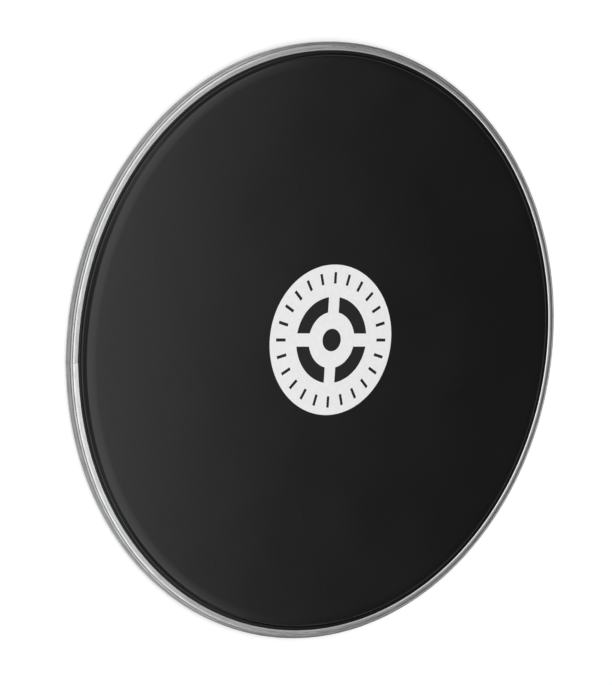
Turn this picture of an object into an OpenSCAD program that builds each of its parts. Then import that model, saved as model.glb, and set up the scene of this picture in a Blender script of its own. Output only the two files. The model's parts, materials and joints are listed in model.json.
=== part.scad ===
// Replacement head for a frame drum: a black two-ply napa film with a low collar,
// crimped into a slim aluminium hoop, with a white printed disc at its middle.
// Millimetres. The head lies flat: Z = 0 is the plane the hoop rests on, +Z is the
// playing side, and the origin is at the middle of the hoop.

/* [Shell] */
// Outer diameter of the drum shell that the head goes on
shell_d = 305; // [150:1:560]
// Gap all round between that shell and the hoop's inner wall
shell_gap = 2.1; // [0.5:0.1:4]

/* [Hoop] */
// Width of the hoop, from its inner lip to its outer wall
hoop_w = 4.6; // [4.5:0.1:9]
// Height of the hoop
hoop_h = 5.0; // [4.2:0.1:12]
// Thickness of the aluminium strip that the hoop is rolled from
strip_t = 0.9; // [0.6:0.05:1.1]
// How far the inner lip reaches in past the inner wall
lip_over = 0.6; // [0.55:0.05:0.7]
// Radius of the hoop's two outer corners
outer_corner_r = 1.3; // [0.4:0.1:1.6]
// Radius of the hoop's lower inner corner, which leads the shell in
lead_in_r = 0.6; // [0.2:0.1:0.8]
// Radius of the inner lip, where the strip ends over the film
lip_r = 0.3; // [0.1:0.05:0.4]
// Distance of the rolled groove from the inner lip, across the hoop's top
groove_from_lip = 2.9; // [1.2:0.1:2.9]
// Radius of the roller that presses the groove
groove_r = 0.5; // [0.2:0.1:0.8]
// Depth of the groove
groove_depth = 0.12; // [0.05:0.01:0.25]
// Width of the open butt seam where the strip's two ends meet
seam_gap = 0.1; // [0.1:0.1:2]
// Where the seam is, in degrees anticlockwise from +X
seam_at = 183.5; // [0:0.5:359.5]

/* [Film] */
// Thickness of the napa ply, on the playing side
face_t = 0.25; // [0.1:0.05:0.4]
// Thickness of the backing ply underneath
backing_t = 0.25; // [0.1:0.05:0.4]
// Thickness of the bond line between the two plies
bond_t = 0.02; // [0.01:0.01:0.05]
// Height of the playing face above the hoop's top
face_rise = 1.1; // [0.3:0.1:2.5]
// Distance from the inner lip to the edge of the flat playing face
collar_w = 5.0; // [4.5:0.1:20]
// Slope of the collar's wall, in degrees
collar_slope = 50; // [30:1:60]
// Radius of the shoulder at the edge of the playing face
shoulder_r = 2.0; // [1.2:0.1:3]
// Radius at the foot of the collar's wall
foot_r = 1.0; // [0.5:0.1:1.5]

/* [Key ring] */
// Radius of the ring's upper outer edge, round which the film is folded
fold_r = 0.8; // [0.4:0.1:1.1]
// Radius of the ring's other edges
key_edge_r = 0.3; // [0.1:0.05:0.3]
// Width of the gap where the ring's two ends meet
key_gap = 1.0; // [0.2:0.1:6]
// Clearance between the parts that are crimped together
crimp_clear = 0.06; // [0.06:0.01:0.1]
// Height of the film's cut edge above the hoop's floor
skirt_gap = 0.4; // [0.1:0.1:1]

/* [Print] */
// Diameter of the white printed disc
disc_d = 80; // [20:1:120]
// Distance of the disc from the middle of the head, to the right
print_x = -1.0; // [-5:0.1:5]
// Distance of the disc from the middle of the head, upwards
print_y = 2.0; // [-5:0.1:5]
// Thickness of one layer of ink
ink_t = 0.04; // [0.02:0.01:0.1]
// Diameter of the dot at the middle of the aiming mark
dot_d = 12; // [4:0.5:14]
// Outer diameter of the aiming mark's broken ring
ring_d = 46; // [36:1:48]
// Width of the broken ring's band
ring_w = 8; // [2:0.5:10]
// Width of the breaks in the ring
break_w = 7; // [2:0.5:10]
// Number of ticks outside the ring
tick_count = 24; // [8:4:36]
// Distance of the ticks' outer ends from the disc's edge
tick_margin = 4; // [2:0.5:8]
// Length of a tick
tick_l = 6; // [2:0.5:7]
// Width of a tick
tick_w = 1.6; // [0.5:0.1:2.4]

/* [Hidden] */

$fn = 180;
ARC_STEPS = 8; // straight steps in each bend of the film
CUT = 1;       // how far a cutting shape reaches past what it cuts

film_t = face_t + bond_t + backing_t;

// The hoop's walls. The channel is closed on the outside and open through a slot
// under its top, and the slot is as high as the film and its clearance.
hoop_in_r = shell_d / 2 + shell_gap;
lip_in_r = hoop_in_r - lip_over;
hoop_out_r = lip_in_r + hoop_w;
slot_h = film_t + 2 * crimp_clear;
slot_top = hoop_h - strip_t;
slot_bottom = slot_top - slot_h;
cavity_in_r = hoop_in_r + strip_t;
cavity_out_r = hoop_out_r - strip_t;

// The film's upper surface: its levels, and the middles of its three bends.
face_z = hoop_h + face_rise;
film_in_z = slot_top - crimp_clear;
skirt_out_r = cavity_out_r - crimp_clear;
fold_out_r = fold_r + crimp_clear + film_t;
collar_drop = face_z - film_in_z;
wall_l = (collar_drop - (shoulder_r + foot_r) * (1 - cos(collar_slope))) / sin(collar_slope);
collar_run = (shoulder_r + foot_r) * sin(collar_slope) + wall_l * cos(collar_slope);
face_flat_r = lip_in_r - collar_w;
shoulder_mid = [face_flat_r, face_z - shoulder_r];
foot_mid = [face_flat_r + collar_run, film_in_z + foot_r];
fold_mid = [skirt_out_r - fold_out_r, film_in_z - fold_out_r];

// The ring inside the channel, under and inside the folded film.
key_in_r = cavity_in_r + crimp_clear;
key_out_r = skirt_out_r - film_t - crimp_clear;
key_bottom = strip_t + crimp_clear;
key_top = film_in_z - film_t - crimp_clear;

function arc(mid, r, from, to) =
    [for (i = [0 : ARC_STEPS])
        let (a = from + (to - from) * i / ARC_STEPS)
        mid + r * [cos(a), sin(a)]];

function reversed(points) = [for (i = [len(points) - 1 : -1 : 0]) points[i]];

// The film's run from the middle of the head to its cut edge, at a depth under its
// upper surface. A bend that is hollow from above gets wider with depth.
function film_line(depth) = concat(
    [[0, face_z - depth]],
    arc(shoulder_mid, shoulder_r - depth, 90, 90 - collar_slope),
    arc(foot_mid, foot_r + depth, 270 - collar_slope, 270),
    arc(fold_mid, fold_out_r - depth, 90, 0),
    [[skirt_out_r - depth, strip_t + skirt_gap]]);

module ply(from_depth, to_depth) {
    rotate_extrude()
        polygon(concat(film_line(from_depth), reversed(film_line(to_depth))));
}

// What a rounded corner loses: corner is its sharp tip, and into points to the solid.
module corner_loss(corner, into, r) {
    translate(corner)
        difference() {
            translate([min(into[0], 0) * r - (into[0] > 0 ? CUT : 0),
                       min(into[1], 0) * r - (into[1] > 0 ? CUT : 0)])
                square(r + CUT);
            translate(into * r)
                circle(r);
        }
}

// Corners are numbered from the lower inner one, anticlockwise: [r, z] and radius.
module rounded_section(low, high, radii) {
    difference() {
        translate(low)
            square(high - low);
        corner_loss(low, [1, 1], radii[0]);
        corner_loss([high[0], low[1]], [-1, 1], radii[1]);
        corner_loss(high, [-1, -1], radii[2]);
        corner_loss([low[0], high[1]], [1, -1], radii[3]);
    }
}

module gap_at(degrees, width) {
    rotate(degrees)
        translate([lip_in_r - CUT, -width / 2, -CUT])
            cube([hoop_w + 2 * CUT, width, hoop_h + 2 * CUT]);
}

module hoop_section() {
    bend_in_r = max(outer_corner_r - strip_t, strip_t / 4);
    difference() {
        rounded_section([lip_in_r, 0], [hoop_out_r, hoop_h],
                        [lip_r, outer_corner_r, outer_corner_r, lip_r]);
        translate([lip_in_r - CUT, -CUT])
            square([CUT + lip_over, CUT + slot_top]);
        corner_loss([hoop_in_r, 0], [1, 1], lead_in_r);
        rounded_section([cavity_in_r, strip_t], [cavity_out_r, slot_top],
                        [bend_in_r, bend_in_r, bend_in_r, bend_in_r]);
        translate([lip_in_r - CUT, slot_bottom])
            square([CUT + lip_over + strip_t + bend_in_r, slot_h]);
        translate([lip_in_r + groove_from_lip, hoop_h + groove_r - groove_depth])
            circle(groove_r);
    }
}

// The rolled aluminium channel, with the open seam where its ends meet.
module hoop_channel() {
    color([0.80, 0.81, 0.82])
        difference() {
            rotate_extrude()
                hoop_section();
            gap_at(seam_at, seam_gap);
        }
}

// The steel ring that the film is folded round. Its own gap is across from the seam.
module key_ring() {
    color([0.55, 0.56, 0.58])
        difference() {
            rotate_extrude()
                rounded_section([key_in_r, key_bottom], [key_out_r, key_top],
                                [key_edge_r, key_edge_r, fold_r, key_edge_r]);
            gap_at(seam_at + 180, key_gap);
        }
}

module napa_face() {
    color([0.06, 0.06, 0.06])
        ply(0, face_t);
}

module backing_film() {
    color([0.20, 0.20, 0.21])
        ply(face_t + bond_t, film_t);
}

// Places a flat printed layer: layer 0 is on the film, and layer 1 is on layer 0.
module ink_layer(layer) {
    translate([print_x, print_y, face_z + layer * ink_t])
        linear_extrude(ink_t)
            children();
}

module print_disc() {
    color([0.95, 0.95, 0.95])
        ink_layer(0)
            circle(d = disc_d);
}

// A plain aiming mark: a dot, a ring broken into four, and a circle of ticks.
module aiming_mark() {
    color([0.05, 0.05, 0.05])
        ink_layer(1) {
            circle(d = dot_d);
            difference() {
                circle(d = ring_d);
                circle(d = ring_d - 2 * ring_w);
                for (turn = [0, 90])
                    rotate(turn)
                        square([ring_d + 2 * CUT, break_w], center = true);
            }
            for (i = [0 : tick_count - 1])
                rotate(i * 360 / tick_count)
                    translate([disc_d / 2 - tick_margin - tick_l, -tick_w / 2])
                        square([tick_l, tick_w]);
        }
}

hoop_channel();
key_ring();
napa_face();
backing_film();
print_disc();
aiming_mark();
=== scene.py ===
# %% [markdown]
# # A drum head: black napa film in a slim aluminium hoop
#
# This lesson dresses a replacement drum head. An exact model of it already exists as a packed
# CAD model, and every piece here is made in that model's own frame, in metres: the head lies
# flat, Z = 0 is the plane that the hoop rests on, and +Z is the side that is played.
#
# The CAD model is exact but plain. Its film is drawn with straight steps and its metal has no
# finish, so most of its pieces are replaced by finer meshes, and the rest get new materials.

# %% Load the frame
import json
import math

import bmesh
import bpy
from mathutils import Matrix, Vector, noise


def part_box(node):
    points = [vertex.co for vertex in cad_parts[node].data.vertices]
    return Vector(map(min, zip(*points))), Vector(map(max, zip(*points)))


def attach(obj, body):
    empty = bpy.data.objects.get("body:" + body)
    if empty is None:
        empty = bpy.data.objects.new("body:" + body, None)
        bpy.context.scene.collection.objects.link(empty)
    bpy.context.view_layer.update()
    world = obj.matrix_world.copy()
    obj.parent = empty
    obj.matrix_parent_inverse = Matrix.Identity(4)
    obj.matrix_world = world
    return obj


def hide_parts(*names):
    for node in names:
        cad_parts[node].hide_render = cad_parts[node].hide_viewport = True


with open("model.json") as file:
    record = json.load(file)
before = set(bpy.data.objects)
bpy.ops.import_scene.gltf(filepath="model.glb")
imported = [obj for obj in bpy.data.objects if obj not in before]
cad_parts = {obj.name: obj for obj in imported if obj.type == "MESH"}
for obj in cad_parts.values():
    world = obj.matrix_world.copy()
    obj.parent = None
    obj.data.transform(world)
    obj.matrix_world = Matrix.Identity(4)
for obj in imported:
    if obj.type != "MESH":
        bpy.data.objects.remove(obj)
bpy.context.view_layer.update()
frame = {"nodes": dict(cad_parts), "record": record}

# %% [markdown]
# ## Sizes that the head is drawn from
#
# Anything that the CAD model can be asked for is asked for, so that the pieces made here stay
# in place if the head's size changes. What is left is how the strip is bent and how the film
# runs, in millimetres, because that is how a maker would say them. The pieces are worked out
# in millimetres too, and become metres only when their points are handed to Blender.

# %% Sizes in millimetres
MM = 0.001


def mm(length):
    return length / MM


hoop_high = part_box("hoop_channel")[1]
film_low, film_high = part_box("napa_face")
bore = next(m for m in frame["record"]["mounts"] if m["name"] == "shell_bore")

hoop_out_r = mm(hoop_high.x)
hoop_h = mm(hoop_high.z)
hoop_in_r = bore["dims"]["r_mm"]
face_z = mm(film_high.z)
skirt_out_r = mm(film_high.x)
skirt_end_z = mm(film_low.z)

strip_t = 0.9
lip_over = 0.6
lip_in_r = hoop_in_r - lip_over
ply_t = 0.25
bond_t = 0.02
film_t = 2 * ply_t + bond_t
crimp_clear = 0.06
seam_at = math.radians(183.5)
seam_gap = 0.1
print("hoop, mm: lip", lip_in_r, "outside", round(hoop_out_r, 3), "height", round(hoop_h, 3))
print("film, mm: face at", round(face_z, 3), "skirt", round(skirt_out_r, 3))

# %% [markdown]
# ## The camera
#
# The head is looked at from its left and slightly from above, so that it shows as a tall
# ellipse. Two angles and a distance say that best: 36 degrees to the left of straight above,
# and 6 degrees up the head. The camera's own left-to-right line then has to be turned so that
# the head's X axis lies level across it, and a cross product gives that turn exactly. A long
# lens keeps the ellipse nearly even from side to side.

# %% Camera
to_left = math.radians(36.06)
to_top = math.radians(5.99)
distance = 1.1553
looked_at = Vector((-0.01685, 0.00056, hoop_h * MM))

back = Vector((-math.sin(to_left), math.cos(to_left) * math.sin(to_top),
               math.cos(to_left) * math.cos(to_top)))
up = back.cross(Vector((1, 0, 0))).normalized()
right = up.cross(back)

camera = bpy.data.objects.new("camera", bpy.data.cameras.new("camera"))
camera.data.lens = 115.6
camera.matrix_world = Matrix.Translation(looked_at + distance * back) @ Matrix(
    (right, up, back)).transposed().to_4x4()
bpy.context.scene.collection.objects.link(camera)
bpy.context.scene.camera = camera
print("camera at", [round(x, 3) for x in camera.location])

# %% [markdown]
# ## Wiring nodes
#
# The world, the floor and every finish are small trees of nodes. Blender's own calls for
# making and joining nodes are wordy, so four helpers say the same in a line each: one makes a
# node with its settings, one joins two sockets, one works out a number from two others, and one
# spreads a number over another range.

# %% Node helpers
def add(tree, kind, **settings):
    node = tree.nodes.new("ShaderNode" + kind)
    for name, value in settings.items():
        if name in node.inputs:
            node.inputs[name].default_value = value
        else:
            setattr(node, name, value)
    return node


def link(tree, source, target):
    tree.links.new(source, target)


def combined(tree, operation, first, second):
    node = add(tree, "Math", operation=operation)
    link(tree, first, node.inputs[0])
    link(tree, second, node.inputs[1])
    return node.outputs[0]


def between(tree, value, low, high, from_low=0.3, from_high=0.7):
    """Spreads a value that runs from from_low to from_high over low to high."""
    node = add(tree, "MapRange")
    node.inputs["From Min"].default_value = from_low
    node.inputs["From Max"].default_value = from_high
    node.inputs["To Min"].default_value = low
    node.inputs["To Max"].default_value = high
    link(tree, value, node.inputs["Value"])
    return node.outputs["Result"]


print("node helpers: add, link, combined and between")

# %% [markdown]
# ## The world
#
# Bare metal and satin film show what is around them more than they show their own colour. The
# world stands for a dark studio with pale walls low down: it lights the head with a dim even
# grey, and the camera sees white in its place. Metal and film see white too, but only where
# they mirror the horizon, because overhead the studio is dark. A Light Path node tells these
# rays apart, and the height of a ray's direction says how near the horizon it points.

# %% World
sky_grey = 0.09
horizon_from, horizon_to = 0.04, 0.14

scene = bpy.context.scene
scene.view_settings.view_transform = "Standard"
world = bpy.data.worlds.new("studio")
world.use_nodes = True
scene.world = world


def seen_directly(tree):
    """1 for what is seen straight on, mirrored or through glass, and 0 for what only lights."""
    path = add(tree, "LightPath").outputs
    seen_or_mirrored = combined(tree, "MAXIMUM", path["Is Camera Ray"], path["Is Glossy Ray"])
    return combined(tree, "MAXIMUM", seen_or_mirrored, path["Is Transmission Ray"])


tree = world.node_tree
sky = tree.nodes["Background"]
sky.inputs["Color"].default_value = (sky_grey, sky_grey, sky_grey, 1)
backdrop = add(tree, "Background", Color=(1, 1, 1, 1))
direction = add(tree, "SeparateXYZ")
link(tree, add(tree, "TexCoord").outputs["Generated"], direction.inputs[0])
low_down = between(tree, direction.outputs["Z"], 1, 0, horizon_from, horizon_to)
around = combined(tree, "MULTIPLY", seen_directly(tree), low_down)
white_share = combined(tree, "MAXIMUM", around, add(tree, "LightPath").outputs["Is Camera Ray"])
chosen = add(tree, "MixShader")
link(tree, white_share, chosen.inputs[0])
link(tree, sky.outputs[0], chosen.inputs[1])
link(tree, backdrop.outputs[0], chosen.inputs[2])
link(tree, chosen.outputs[0], tree.nodes["World Output"].inputs[0])
print("world: grey", sky_grey, "overhead, with a white horizon")

# %% [markdown]
# ## The soft box
#
# The lamp is placed by what each surface mirrors. One large soft box hangs over the head and
# reaches far out behind the camera. Seen from the camera, the film mirrors a place just beyond
# the box's right edge, so it catches only the fading edge: dark grey on the left, black on the
# right. The rest of the box lights the white print, and draws a bright line along every bend
# that leans to the left. A lamp this large can be weak, so that most of the bare metal facing
# it stays short of white.

# %% Soft box
def soft_lamp(name, middle, width, depth, radiance):
    """A level lamp facing down. Its radiance is what a mirror would show of it: 1 is white."""
    lamp = bpy.data.lights.new(name, "AREA")
    lamp.shape = "RECTANGLE"
    lamp.size, lamp.size_y = width, depth
    lamp.energy = radiance * math.pi * width * depth
    holder = bpy.data.objects.new(name, lamp)
    holder.location = middle
    scene.collection.objects.link(holder)
    return holder


soft_box = soft_lamp("soft_box", (-0.65, 0.0, 1.5), width=2.94, depth=6.0, radiance=1.36)
print("soft box:", round(soft_box.data.energy, 1), "W")

# %% [markdown]
# ## The floor
#
# The floor is a plain pale sheet. Its own colour is nearly white, and what the camera and the
# metal see of it is lifted a little further by a weak glow, which lights nothing else. The
# head's soft shadow stays, because the glow is added to the floor's own shading rather than
# put in its place. Far from the head the soft box lights the floor less, so the glow grows
# with distance and the floor stays white up to its edge.

# %% Floor
floor_half = 12.0
paper_white = 0.93
near_glow, far_glow = 0.25, 1.0
glow_from, glow_to = 0.4, 2.2

corners = [(x, y, 0) for x in (-floor_half, floor_half) for y in (-floor_half, floor_half)]
floor_mesh = bpy.data.meshes.new("floor")
floor_mesh.from_pydata(corners, [], [(0, 2, 3, 1)])
floor = bpy.data.objects.new("floor", floor_mesh)
scene.collection.objects.link(floor)

floor_paper = bpy.data.materials.new("floor_paper")
floor_paper.use_nodes = True
tree = floor_paper.node_tree
tree.nodes.clear()
paper = add(tree, "BsdfDiffuse", Color=(paper_white, paper_white, paper_white, 1))
glow = add(tree, "Emission", Color=(1, 1, 1, 1))
away = add(tree, "VectorMath", operation="LENGTH")
link(tree, add(tree, "TexCoord").outputs["Object"], away.inputs[0])
growth = between(tree, away.outputs["Value"], near_glow, far_glow, glow_from, glow_to)
link(tree, combined(tree, "MULTIPLY", seen_directly(tree), growth), glow.inputs["Strength"])
both = add(tree, "AddShader")
link(tree, paper.outputs[0], both.inputs[0])
link(tree, glow.outputs[0], both.inputs[1])
link(tree, both.outputs[0], add(tree, "OutputMaterial").inputs["Surface"])
floor_mesh.materials.append(floor_paper)
print("floor:", 2 * floor_half, "m square")

# %% [markdown]
# ## Sections and turning
#
# Hoop, film and backing are all round, so each is drawn once as a section, a list of [r, z]
# points, and turned about the Z axis. Blender's Screw modifier could turn them, but a hoop is
# rolled from a strip and isn't perfect: its twist and its radius drift a little along its
# length. Here each station round the circle asks for its own section, so that the drift is
# real geometry. Two numbers are kept on every point for the materials: how far along the strip
# it is and how far across, both in millimetres.

# %% Bends and their lengths
def bend(middle, radius, start, end, steps):
    angles = [math.radians(start + (end - start) * i / steps) for i in range(steps + 1)]
    return [(middle[0] + radius * math.cos(a), middle[1] + radius * math.sin(a)) for a in angles]


def run_lengths(section):
    lengths = [0.0]
    for (r0, z0), (r1, z1) in zip(section, section[1:]):
        lengths.append(lengths[-1] + math.hypot(r1 - r0, z1 - z0))
    return lengths


quarter = bend((0, 0), 1, 90, 0, 8)
print("a quarter bend of radius 1 mm is", round(run_lengths(quarter)[-1], 3), "mm long")

# %% [markdown]
# Where a section's points lie on the axis, every station puts a point on the same place, and
# these are joined. The sides are shaded smooth, and only edges as sharp as the strip's cut ends
# are kept as creases.

# %% Turned mesh
join_within = 0.0001
crease = math.radians(60)


def turned(name, section_at, angles, mean_r, gap):
    """Turns a closed section; section_at gives it for an angle. A gap leaves two capped ends."""
    count = len(section_at(angles[0]))
    points, along, across = [], [], []
    for angle in angles:
        section = section_at(angle)
        points += [(r * math.cos(angle) * MM, r * math.sin(angle) * MM, z * MM)
                   for r, z in section]
        along += [(angle - angles[0]) * mean_r] * count
        across += run_lengths(section)
    rings = len(angles)
    faces = []
    for ring in range(rings - 1 if gap else rings):
        here, there = ring * count, (ring + 1) % rings * count
        faces += [(here + i, there + i, there + (i + 1) % count, here + (i + 1) % count)
                  for i in range(count)]
    if gap:
        faces.append(tuple(range(count)))
        faces.append(tuple(reversed(range((rings - 1) * count, rings * count))))
    mesh = bpy.data.meshes.new(name)
    mesh.from_pydata(points, [], faces)
    for label, values in (("along", along), ("across", across)):
        mesh.attributes.new(label, "FLOAT", "POINT").data.foreach_set("value", values)
    shape = bmesh.new()
    shape.from_mesh(mesh)
    bmesh.ops.remove_doubles(shape, verts=shape.verts, dist=join_within * MM)
    shape.to_mesh(mesh)
    shape.free()
    mesh.shade_smooth()
    mesh.set_sharp_from_angle(angle=crease)
    piece = bpy.data.objects.new(name, mesh)
    scene.collection.objects.link(piece)
    return piece


print("turned pieces keep creases sharper than", round(math.degrees(crease)), "degrees")

# %% [markdown]
# ## The hoop's section
#
# The hoop is a flat strip rolled into a square channel that is closed outside. Its top ends in
# a lip, pressed down over the film so that its nose is round. Its foot stops short of the top
# and leaves the slot that the film comes out of. A roller has pressed one shallow groove near
# the outer corner. The section starts under the lip's nose and goes round the outside, then
# back along the inside, and every bend is an arc of a few points.

# %% Hoop section
outer_corner_r = 1.3
inner_corner_r = outer_corner_r - strip_t
lip_top_r = 0.3
lip_under_r = 0.15
lead_in_r = 0.6
edge_r = 0.12
top_places = (0.8, 1.4, 2.0)
groove_from_lip = 2.9
groove_r = 1.6
groove_depth = 0.12
hair = 0.01

slot_top = hoop_h - strip_t
slot_bottom = slot_top - film_t - 2 * crimp_clear
cavity_in_r = hoop_in_r + strip_t
cavity_out_r = hoop_out_r - strip_t


def pressed_groove():
    half = math.degrees(math.acos(1 - groove_depth / groove_r))
    middle = (lip_in_r + groove_from_lip, hoop_h + groove_r - groove_depth)
    return bend(middle, groove_r, 270 - half, 270 + half, 6)


def hoop_section():
    out, top = hoop_out_r - outer_corner_r, hoop_h - outer_corner_r
    near, far = cavity_in_r + inner_corner_r, cavity_out_r - inner_corner_r
    low, high = strip_t + inner_corner_r, slot_top - inner_corner_r
    groove = pressed_groove()
    corner = [point for point in bend((out, top), outer_corner_r, 90, 0, 14)
              if point[0] > groove[-1][0]]
    return (
        bend((lip_in_r + lip_under_r, slot_top + lip_under_r), lip_under_r, 270, 180, 3)
        + bend((lip_in_r + lip_top_r, hoop_h - lip_top_r), lip_top_r, 180, 90, 10)
        + [(lip_in_r + place, hoop_h) for place in top_places]
        + groove
        + corner
        + [(hoop_out_r, hoop_h / 2)]
        + bend((out, outer_corner_r), outer_corner_r, 0, -90, 14)
        + bend((hoop_in_r + lead_in_r, lead_in_r), lead_in_r, 270, 180, 8)
        + bend((hoop_in_r + edge_r, slot_bottom - edge_r), edge_r, 180, 90, 3)
        + bend((cavity_in_r - edge_r, slot_bottom - edge_r), edge_r, 90, 0, 3)
        + bend((near, low), inner_corner_r, 180, 270, 4)
        + bend((far, low), inner_corner_r, 270, 360, 4)
        + bend((far, high), inner_corner_r, 0, 90, 4)
    )


outline = hoop_section()
wall_from = next(length for (r, z), length in zip(outline, run_lengths(outline))
                 if r > hoop_out_r - hair)
print("hoop section:", len(outline), "points")
print("the outer wall starts", round(wall_from, 2), "mm round it")

# %% [markdown]
# ## Rolling the hoop
#
# Real rolled hoops have a seam where the strip's two ends meet, and the rollers never quite
# bend the last few millimetres, so the ring comes to a very slight point there. The strip also
# twists by a degree or so along its length, and the press that closes its lip over the film
# leans a little more on one side than on the other. All of this moves the light across the
# hoop's top. Each drift is a small smooth function of where a station is. The twist doesn't
# agree at the two ends, and that is what makes the seam show.

# %% Hoop
half_gap = seam_gap / 2 / hoop_out_r
hoop_start = seam_at + half_gap
hoop_turn = 2 * math.pi - 2 * half_gap
stations = 1080
straight_end = math.radians(3)
end_twist = math.radians(1.4)
wander_twist = math.radians(0.8)
wander_swings = 5
wander_row = (0.3, 0.7)
pressed_w = 1.3
press_most = math.radians(9)
press_at = math.radians(-10)
press_focus = 1.5


def side_share(angle, middle, focus):
    """1 at the middle's side and 0 across from it. A higher focus makes that side narrower."""
    return ((1 + math.cos(angle - middle)) / 2) ** focus


def hoop_drift(angle):
    """How the strip sits at a station: its push outward in mm, its twist and its lip's slope."""
    turn = (angle - hoop_start) / hoop_turn
    from_end = min(turn, 1 - turn) * 2 * math.pi
    push = lip_in_r * max(0, straight_end - from_end) ** 2 / 2
    wander = noise.noise(Vector((wander_swings * turn, *wander_row)))
    twist = wander_twist * wander + end_twist * (1 - 2 * turn) ** 3
    press = press_most * side_share(angle, press_at, press_focus)
    return push, twist, press


def hoop_section_at(angle):
    push, twist, press = hoop_drift(angle)
    section = []
    for r, z in outline:
        if z > slot_top - hair:
            pressed = max(0, lip_in_r + pressed_w - r) * math.tan(press)
            z += twist * (hoop_out_r - r) - pressed * (z - slot_top) / strip_t
        section.append((r + push, z))
    return section


hoop_angles = [hoop_start + hoop_turn * i / stations for i in range(stations + 1)]
hoop = turned("aluminium_hoop", hoop_section_at, hoop_angles, hoop_out_r, gap=True)
print("hoop:", len(hoop.data.polygons), "faces")

# %% [markdown]
# ## The film's run
#
# The film starts as a flat blank. Heat and a mould give it its low collar: a flat face, a long
# ease, a shoulder, a sloping wall and a shallow gutter. It then runs out level through the
# hoop's slot, turns down round the ring inside the hoop and ends as a short skirt. The ease is
# an arc so wide that it looks flat, but a satin film shows it as a band of light before the
# edge. One function gives the run at any depth under the playing side, so the napa and its
# backing are the same line at two depths, and they can never cross. The collar isn't quite
# even: on the seam's side its foot lies further in and its gutter is deeper.

# %% Film run
ease_slope = 8
ease_r = 30.0
shoulder_r = 1.9
collar_slope = 46
foot_r = 0.7
gutter_r = 0.55
fold_r = 0.8
gutter_slopes = (2, 50)
foot_places = (0.9, 1.6)
gutter_at = seam_at - math.radians(14)
gutter_focus = 4
face_rings = 16

film_in_z = slot_top - crimp_clear
fold_out_r = fold_r + crimp_clear + film_t
fold_mid = (skirt_out_r - fold_out_r, film_in_z - fold_out_r)


def collar_drift(angle):
    """The gutter's slope in degrees, and how far inside the lip it ends in mm. Both are first
    given for the side across from the seam, and then for the seam's own side."""
    near_seam = side_share(angle, gutter_at, gutter_focus)
    slope = gutter_slopes[0] + (gutter_slopes[1] - gutter_slopes[0]) * near_seam
    return slope, foot_places[0] + (foot_places[1] - foot_places[0]) * near_seam


def film_line(depth, angle=0.0):
    gutter_slope, from_lip = collar_drift(angle)
    slopes = [math.radians(slope) for slope in (ease_slope, collar_slope, gutter_slope)]
    sines = [math.sin(slope) for slope in slopes]
    cosines = [math.cos(slope) for slope in slopes]
    gutter_end = lip_in_r - from_lip
    gutter_mid = (gutter_end, film_in_z - gutter_r)
    foot_mid = (gutter_mid[0] - (gutter_r + foot_r) * sines[2],
                gutter_mid[1] + (gutter_r + foot_r) * cosines[2])
    ease_drop = ease_r * (1 - cosines[0])
    shoulder_drop = shoulder_r * (cosines[0] - cosines[1])
    wall_foot_z = foot_mid[1] - foot_r * cosines[1]
    wall_l = (face_z - ease_drop - shoulder_drop - wall_foot_z) / sines[1]
    shoulder_mid = (foot_mid[0] - (foot_r + shoulder_r) * sines[1] - wall_l * cosines[1],
                    face_z - ease_drop - shoulder_r * cosines[0])
    ease_mid = (shoulder_mid[0] - (ease_r - shoulder_r) * sines[0], face_z - ease_r)
    return (
        [(ease_mid[0] * ring / face_rings, face_z - depth) for ring in range(face_rings)]
        + bend(ease_mid, ease_r - depth, 90, 90 - ease_slope, 10)
        + bend(shoulder_mid, shoulder_r - depth, 90 - ease_slope, 90 - collar_slope, 12)[1:]
        + bend(foot_mid, foot_r + depth, 270 - collar_slope, 270 + gutter_slope, 14)
        + bend(gutter_mid, gutter_r - depth, 90 + gutter_slope, 90, 4)[1:]
        + bend(fold_mid, fold_out_r - depth, 90, 0, 10)
        + [(skirt_out_r - depth, skirt_end_z)]
    )


top_line = film_line(0)
print("the film's run:", len(top_line), "points,", round(run_lengths(top_line)[-1], 2), "mm long")

# %% [markdown]
# ## The two plies
#
# A ply is the run at two depths joined at the cut edge, turned all the way round. Its first and
# last points are on the axis, where every station's copy falls on the same place, so they are
# joined there and the face closes in a fan of thin triangles. Napa is a coated cloth.

# %% Napa face and backing
def ply(name, from_depth, to_depth, steps=720):
    def section_at(angle):
        return film_line(from_depth, angle) + film_line(to_depth, angle)[::-1]

    angles = [2 * math.pi * i / steps for i in range(steps)]
    piece = turned(name, section_at, angles, hoop_out_r, gap=False)
    return piece


napa = ply("napa_film", 0, ply_t)
backing = ply("backing_cloth", ply_t + bond_t, film_t)
key_ring = frame["nodes"]["key_ring"]
disc = frame["nodes"]["print_disc"]
mark = frame["nodes"]["aiming_mark"]

# %% [markdown]
# ## Materials
#
# Every finish starts as a plain shader and is then made uneven. Noise is the raw stuff: it can
# be spread over a range of gloss, turned into a tint between two colours, or used as the height
# of a bump. A finished piece also says which CAD solids it stands for, and these are hidden.

# %% Finish helpers
def material(name, color, roughness, metallic=0.0, specular=0.5):
    made = bpy.data.materials.new(name)
    made.use_nodes = True
    shader = made.node_tree.nodes["Principled BSDF"]
    shader.inputs["Base Color"].default_value = (*color, 1)
    shader.inputs["Roughness"].default_value = roughness
    shader.inputs["Metallic"].default_value = metallic
    shader.inputs["Specular IOR Level"].default_value = specular
    return made, made.node_tree, shader


def cloud(tree, place, detail=2.0, rough=0.5):
    texture = add(tree, "TexNoise", Scale=1, Detail=detail, Roughness=rough)
    link(tree, place, texture.inputs["Vector"])
    return texture.outputs["Fac"]


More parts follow.
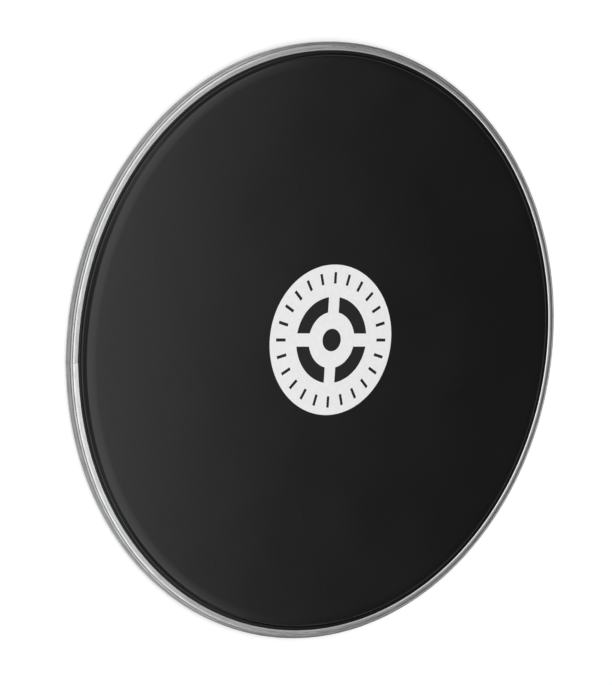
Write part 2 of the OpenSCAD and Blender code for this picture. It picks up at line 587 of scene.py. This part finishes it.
def tinted(tree, value, dark, light):
    """A colour between dark and light, where value runs from 0 to 1."""
    node = add(tree, "Mix", data_type="RGBA")
    node.inputs["A"].default_value = (*dark, 1)
    node.inputs["B"].default_value = (*light, 1)
    link(tree, value, node.inputs["Factor"])
    return node.outputs["Result"]


def bumped(tree, shader, height, depth_mm, strength=1.0):
    node = add(tree, "Bump", Strength=strength, Distance=depth_mm * MM)
    link(tree, height, node.inputs["Height"])
    link(tree, node.outputs["Normal"], shader.inputs["Normal"])


def dress(piece, finish, slot, *stands_for):
    piece.data.materials.clear()
    piece.data.materials.append(finish)
    if stands_for:
        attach(piece, "root")
        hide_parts(*stands_for)
    print(piece.name, "wears", finish.name, "of", len(finish.node_tree.nodes), "nodes")


print("finish helpers: material, cloud, tinted, bumped and dress")

# %% [markdown]
# ### Along and across the strip
#
# Rolled metal has a direction, so its patterns read the two numbers that were kept on the mesh:
# stretched a lot along the strip and little across it, noise turns into the faint streaks that
# rollers leave. The distance across also tells lip, top and outer side apart, and a blend lets
# one finish run into the next.

# %% Strip helpers
def strip_place(tree, along_scale, across_scale):
    place = add(tree, "CombineXYZ")
    for label, axis in (("along", "X"), ("across", "Y")):
        kept = add(tree, "Attribute", attribute_name=label)
        link(tree, kept.outputs["Fac"], place.inputs[axis])
    scale = add(tree, "VectorMath", operation="MULTIPLY")
    link(tree, place.outputs[0], scale.inputs[0])
    scale.inputs[1].default_value = (along_scale, across_scale, 1)
    return scale.outputs[0]


def blended(tree, share, first, second, kind="RGBA"):
    """First where share is 0 and second where it is 1. Each is a socket or a plain value."""
    node = add(tree, "Mix", data_type=kind)
    sockets = [socket for socket in node.inputs if socket.enabled]
    for socket, value in zip(sockets, (share, first, second)):
        if isinstance(value, bpy.types.NodeSocket):
            link(tree, value, socket)
        else:
            socket.default_value = value
    return next(socket for socket in node.outputs if socket.enabled)


print("the strip is", round(hoop_turn * hoop_out_r, 1), "mm long")

# %% [markdown]
# ### Rolled aluminium
#
# The strip is bare aluminium, satin from the mill and then rubbed by the rollers. Its lip is
# the brightest, because the press polished it, and its top is next: long streaks and small
# dull patches change its gloss a little. Its outer side is painted darker with random blotches,
# as painted shade for the dark it mirrors, and the cut edge under the lip is painted near black
# as shade between lip and film. A low bump keeps reflections from being glassy.

# %% Aluminium
under_lip_ends = (0.6, 0.85)
lip_ends = (1.2, 1.8)
wall_starts = (wall_from - 2.6, wall_from - 0.6)
# The cut edge under the lip is painted near black, as the shade between lip and film.
under_lip_shade = (0.06, 0.06, 0.06, 1)
polished = (0.88, 0.885, 0.89, 1)
rubbed_dull, rubbed_light = (0.54, 0.543, 0.547), (0.74, 0.745, 0.75)
# The outer side's two colours are painted shade: darker than the top, to stand for the dark
# surroundings that side mirrors, with random blotches between them.
wall_shade_dull, wall_shade_light = (0.20, 0.202, 0.205), (0.34, 0.343, 0.348)
lip_gloss = 0.34


def rolled_aluminium():
    made, tree, shader = material("rolled_aluminium", (0.8, 0.8, 0.8), 0.3, metallic=1.0)
    streaks = cloud(tree, strip_place(tree, 0.04, 3.0), detail=3)
    patches = cloud(tree, strip_place(tree, 0.12, 0.9), detail=3, rough=0.6)
    grain = cloud(tree, strip_place(tree, 1.5, 8.0), detail=2)
    across = add(tree, "Attribute", attribute_name="across").outputs["Fac"]
    under_lip = between(tree, across, 1, 0, *under_lip_ends)
    on_lip = between(tree, across, 1, 0, *lip_ends)
    on_wall = between(tree, across, 0, 1, *wall_starts)
    top = tinted(tree, between(tree, patches, 0, 1), rubbed_dull, rubbed_light)
    # The outer side takes the painted shade, spread by the random blotches.
    wall = tinted(tree, between(tree, patches, 0, 1), wall_shade_dull, wall_shade_light)
    above = blended(tree, on_wall, blended(tree, on_lip, top, polished), wall)
    # Last, the painted shade under the lip covers the cut edge.
    color = blended(tree, under_lip, above, under_lip_shade)
    link(tree, color, shader.inputs["Base Color"])
    gloss = blended(tree, on_lip, between(tree, streaks, 0.26, 0.38), lip_gloss, "FLOAT")
    link(tree, gloss, shader.inputs["Roughness"])
    bumped(tree, shader, grain, 0.01)
    return made


dress(hoop, rolled_aluminium(), "hoop_aluminium", "hoop_channel")

# %% [markdown]
# ### Drawn steel
#
# The ring inside the hoop is plain steel wire stock. Only a sliver of it can be seen, through
# the seam, so its CAD shape stays and it gets a darker, blotchy metal. Its tarnish has no
# direction, so its noise reads the piece's own coordinates.

# %% Steel
def object_place(tree, per_mm):
    """The piece's own coordinates in millimetres, times a scale."""
    place = add(tree, "TexCoord")
    scale = add(tree, "VectorMath", operation="SCALE", Scale=per_mm / MM)
    link(tree, place.outputs["Object"], scale.inputs[0])
    return scale.outputs[0]


def drawn_steel():
    made, tree, shader = material("drawn_steel", (0.45, 0.46, 0.48), 0.4, metallic=1.0)
    tarnish = cloud(tree, object_place(tree, 0.3), detail=4)
    pits = cloud(tree, object_place(tree, 4.0), detail=3)
    color = tinted(tree, between(tree, tarnish, 0, 1), (0.33, 0.33, 0.34), (0.52, 0.53, 0.55))
    link(tree, color, shader.inputs["Base Color"])
    link(tree, between(tree, pits, 0.35, 0.55), shader.inputs["Roughness"])
    bumped(tree, shader, pits, 0.01)
    return made


dress(key_ring, drawn_steel(), "key_ring_steel")

# %% [markdown]
# ### Napa
#
# The playing side is synthetic napa: a black coat with the finest leather grain, smooth enough
# to look like satin from a metre away. Black this deep is nearly all gloss, so the colour is
# kept very low and the shine is spread wide. A Voronoi texture's cells, softened by noise, make
# the pores, and a slow cloud makes the gloss a little uneven, as handled film is.

# %% Napa
def napa_grain(tree):
    wobble = cloud(tree, object_place(tree, 1.2), detail=2)
    shifted = add(tree, "VectorMath", operation="ADD")
    link(tree, object_place(tree, 1.6), shifted.inputs[0])
    link(tree, wobble, shifted.inputs[1])
    pores = add(tree, "TexVoronoi", feature="DISTANCE_TO_EDGE", Scale=1)
    link(tree, shifted.outputs[0], pores.inputs["Vector"])
    return between(tree, pores.outputs["Distance"], 0, 1, 0, 0.25)


def napa_coat():
    made, tree, shader = material("napa_coat", (0.0012, 0.0012, 0.0013), 0.28, specular=0.53)
    handled = cloud(tree, object_place(tree, 0.02), detail=3)
    link(tree, between(tree, handled, 0.26, 0.30), shader.inputs["Roughness"])
    bumped(tree, shader, napa_grain(tree), 0.006, strength=0.3)
    return made


dress(napa, napa_coat(), "black_napa", "napa_face")

# %% [markdown]
# ### Backing cloth
#
# Under the napa is the cloth that carries the tension, coated dark grey. Two wave textures at
# right angles are its warp and weft. The higher of the two at each point is the thread on top,
# which is all that a weave needs at this scale.

# %% Backing
def backing_weave():
    made, tree, shader = material("backing_weave", (0.1, 0.1, 0.105), 0.75, specular=0.3)
    place = object_place(tree, 1.0)
    threads = []
    for direction in ("X", "Y"):
        wave = add(tree, "TexWave", bands_direction=direction, Scale=0.5, Distortion=0.4, Detail=1)
        link(tree, place, wave.inputs["Vector"])
        threads.append(wave.outputs["Fac"])
    top = combined(tree, "MAXIMUM", *threads)
    color = tinted(tree, top, (0.05, 0.05, 0.052), (0.12, 0.12, 0.125))
    link(tree, color, shader.inputs["Base Color"])
    bumped(tree, shader, top, 0.05)
    return made


dress(backing, backing_weave(), "grey_backing", "backing_film")

# %% [markdown]
# ### Ink
#
# The disc is screen-printed, so it is an even white with the napa's grain just showing through,
# and a trace of unevenness where the ink went down thinner. The black mark on it is a second
# pass of the same kind. Both keep their CAD shape.

# %% Ink
thin_white, full_white = (0.86, 0.86, 0.86), (0.91, 0.91, 0.91)
thin_black, full_black = (0.009, 0.009, 0.009), (0.012, 0.012, 0.012)


def printed_ink(name, thin, full, specular):
    made, tree, shader = material(name, full, 0.4, specular=specular)
    laid = cloud(tree, object_place(tree, 0.4), detail=4)
    link(tree, tinted(tree, between(tree, laid, 0, 1), thin, full), shader.inputs["Base Color"])
    link(tree, between(tree, laid, 0.46, 0.38), shader.inputs["Roughness"])
    bumped(tree, shader, napa_grain(tree), 0.008, strength=0.4)
    return made


dress(disc, printed_ink("white_ink", thin_white, full_white, specular=0.5), "white_ink")
dress(mark, printed_ink("black_ink", thin_black, full_black, specular=0.3), "black_ink")
